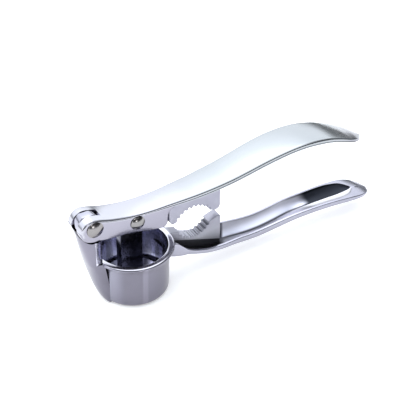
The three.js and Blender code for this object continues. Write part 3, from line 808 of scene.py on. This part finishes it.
# %% The plate's far edge
# Painted shade: faces of the plate and arms that look away and up take the darker copy.
for piece in (upper_grip, *arms):
    middle, normal = face_table(piece)
    give(piece, (normal[:, 1] > 0.25) & (normal[:, 2] > 0), far_edge_painted_shade)

# %% The shaded flanks of the lower teeth
middle, normal = face_table(lower_jaw)
inward = np.array([JAW_MIDDLE, LOWER_BOWL[0]]) - middle[:, [0, 2]]
across = inward[:, 0] * normal[:, 2] - inward[:, 1] * normal[:, 0]
reach = np.hypot(inward[:, 0], inward[:, 1])
# Painted shade: these flanks take the near-black tone.
flank = (across < -0.35 * reach) & (reach < 10.4) & (normal[:, 2] > 0) & (np.abs(normal[:, 1]) < 0.4)
give(lower_jaw, flank, tooth_painted_shade)

# %% The tower's bright corners
middle, normal = face_table(tower)
# Painted highlight: these faces take the bright copy of the chrome.
strip = (middle[:, 2] > 24.6) & (np.abs(middle[:, 1]) > 5.2) & (middle[:, 0] > -21.5) & (normal[:, 2] < 0.5)
give(tower, strip, tower_corner_highlight)

# %% [markdown]
# ## The floor
#
# The press stands on pale paper. A plain white sheet still looks grey wherever the light falls off, so the
# paper glows a little, as a sheet lit from below does on a product table. That keeps it near white and lets
# only a faint shadow stay under the cup.

# %% Floor
low_side, high_side, level = -1500, 1600, -0.05
floor = add_mesh("floor", [(low_side, low_side, level), (high_side, low_side, level),
                           (high_side, high_side, level), (low_side, high_side, level)], [range(4)])
paper = bpy.data.materials.new("floor_paper")
paper.use_nodes = True
paper_shader = paper.node_tree.nodes["Principled BSDF"]
paper_colour = blend(paper.node_tree, noise(paper.node_tree, 900), (0.93, 0.93, 0.935), (0.95, 0.95, 0.955))
paper.node_tree.links.new(paper_colour.socket, paper_shader.inputs["Base Color"])
paper_shader.inputs["Roughness"].default_value = 0.9
paper_shader.inputs["Emission Color"].default_value = (1, 1, 1, 1)
paper_shader.inputs["Emission Strength"].default_value = 0.36
floor.data.materials.append(paper)
print("floor is", high_side - low_side, "mm wide")

# %% [markdown]
# ## The surroundings
#
# Chrome is a mirror, so what stands round it matters more than the lamps. A room could be modelled with white
# cards and black flags, as a studio has. The same is done here with the world's own brightness, as sums of the
# direction a ray looks in: bright behind and overhead, darker cards in front, to the side, and low on the side
# behind. The floor and these cards give the metal its light tops and its darker flanks.

# %% World
world = bpy.data.worlds.new("studio")
bpy.context.scene.world = world
world.use_nodes = True
sky = world.node_tree
looking = node(sky, "ShaderNodeTexCoord", out=0)
east, north, up = (node(sky, "ShaderNodeSeparateXYZ", values={0: looking}, out=i) for i in range(3))
back_glow = north.over(0.05, 0.6) * up.over(0.0, 0.35)
top_glow = up.over(0.45, 0.9)
front_card = (0 - north).over(0.3, 0.55) * (1 - up.over(0.45, 0.75)) * up.over(-0.05, 0.25)
side_card = east.over(0.5, 0.7) * up.over(-0.02, 0.1) * (1 - up.over(0.72, 0.85)) * (1 - north.over(0.3, 0.55))
low_card = east.over(0.5, 0.65) * north.over(0.3, 0.5) * (1 - up.over(0.1, 0.3))
cards = (1 - 0.86 * front_card) * (1 - 0.5 * side_card) * (1 - 0.6 * low_card)
glow = (0.6 + 1.55 * back_glow + 1.2 * top_glow) * cards
backdrop = sky.nodes["Background"]
backdrop.inputs["Color"].default_value = (0.92, 0.97, 1.0, 1)
sky.links.new(glow.socket, backdrop.inputs["Strength"])
bpy.context.scene.view_settings.view_transform = "Standard"
print("world set,", len(sky.nodes), "nodes")

# %% [markdown]
# ## The lamps
#
# Soft rectangular panels do the rest: a large one overhead, one to the left for the cup and the tower, and a
# small one in front whose reflection is the bright spot on each rivet. Point lamps would give hard, tiny
# glints that plated metal in soft light doesn't show.

# %% Lamps
CENTRE = (0.04, 0, 0.03)


def panel(name, place, size, watts):
    """Soft rectangular light at a place in metres, turned to face the press."""
    light = bpy.data.lights.new(name, "AREA")
    light.shape, light.size, light.size_y, light.energy = "RECTANGLE", *size, watts
    lamp = bpy.data.objects.new(name, light)
    lamp.location = place
    lamp.rotation_euler = (Vector(CENTRE) - Vector(place)).to_track_quat("-Z", "Y").to_euler()
    bpy.context.scene.collection.objects.link(lamp)
    print("lamp", name, watts, "W")


panel("overhead", (0.1, 0.3, 1.2), (1.3, 1.3), 4)
panel("left_panel", (-0.9, 0.1, 0.35), (0.5, 0.6), 1.5)
panel("sparkle", (-0.08, -0.97, 0.24), (0.26, 0.22), 0.8)

# %% [markdown]
# ## The camera
#
# The camera looks down at the press from the front left, so the cup's mouth, the near cheek and the trough all
# show. A long lens from further away keeps the far grip from shrinking, as a wide lens up close would do.

# %% Camera
target = Vector((0.0401, 0, 0.02865))
yaw, pitch, away = np.radians(31), np.radians(37), 0.752
toward = Vector((-np.sin(yaw) * np.cos(pitch), -np.cos(yaw) * np.cos(pitch), np.sin(pitch)))
lens = bpy.data.cameras.new("camera")
lens.lens, lens.sensor_width = 141.7, 36
camera = bpy.data.objects.new("camera", lens)
camera.location = target + toward * away
camera.rotation_euler = (-toward).to_track_quat("-Z", "Y").to_euler()
bpy.context.scene.collection.objects.link(camera)
bpy.context.scene.camera = camera
print("camera at", camera.location)
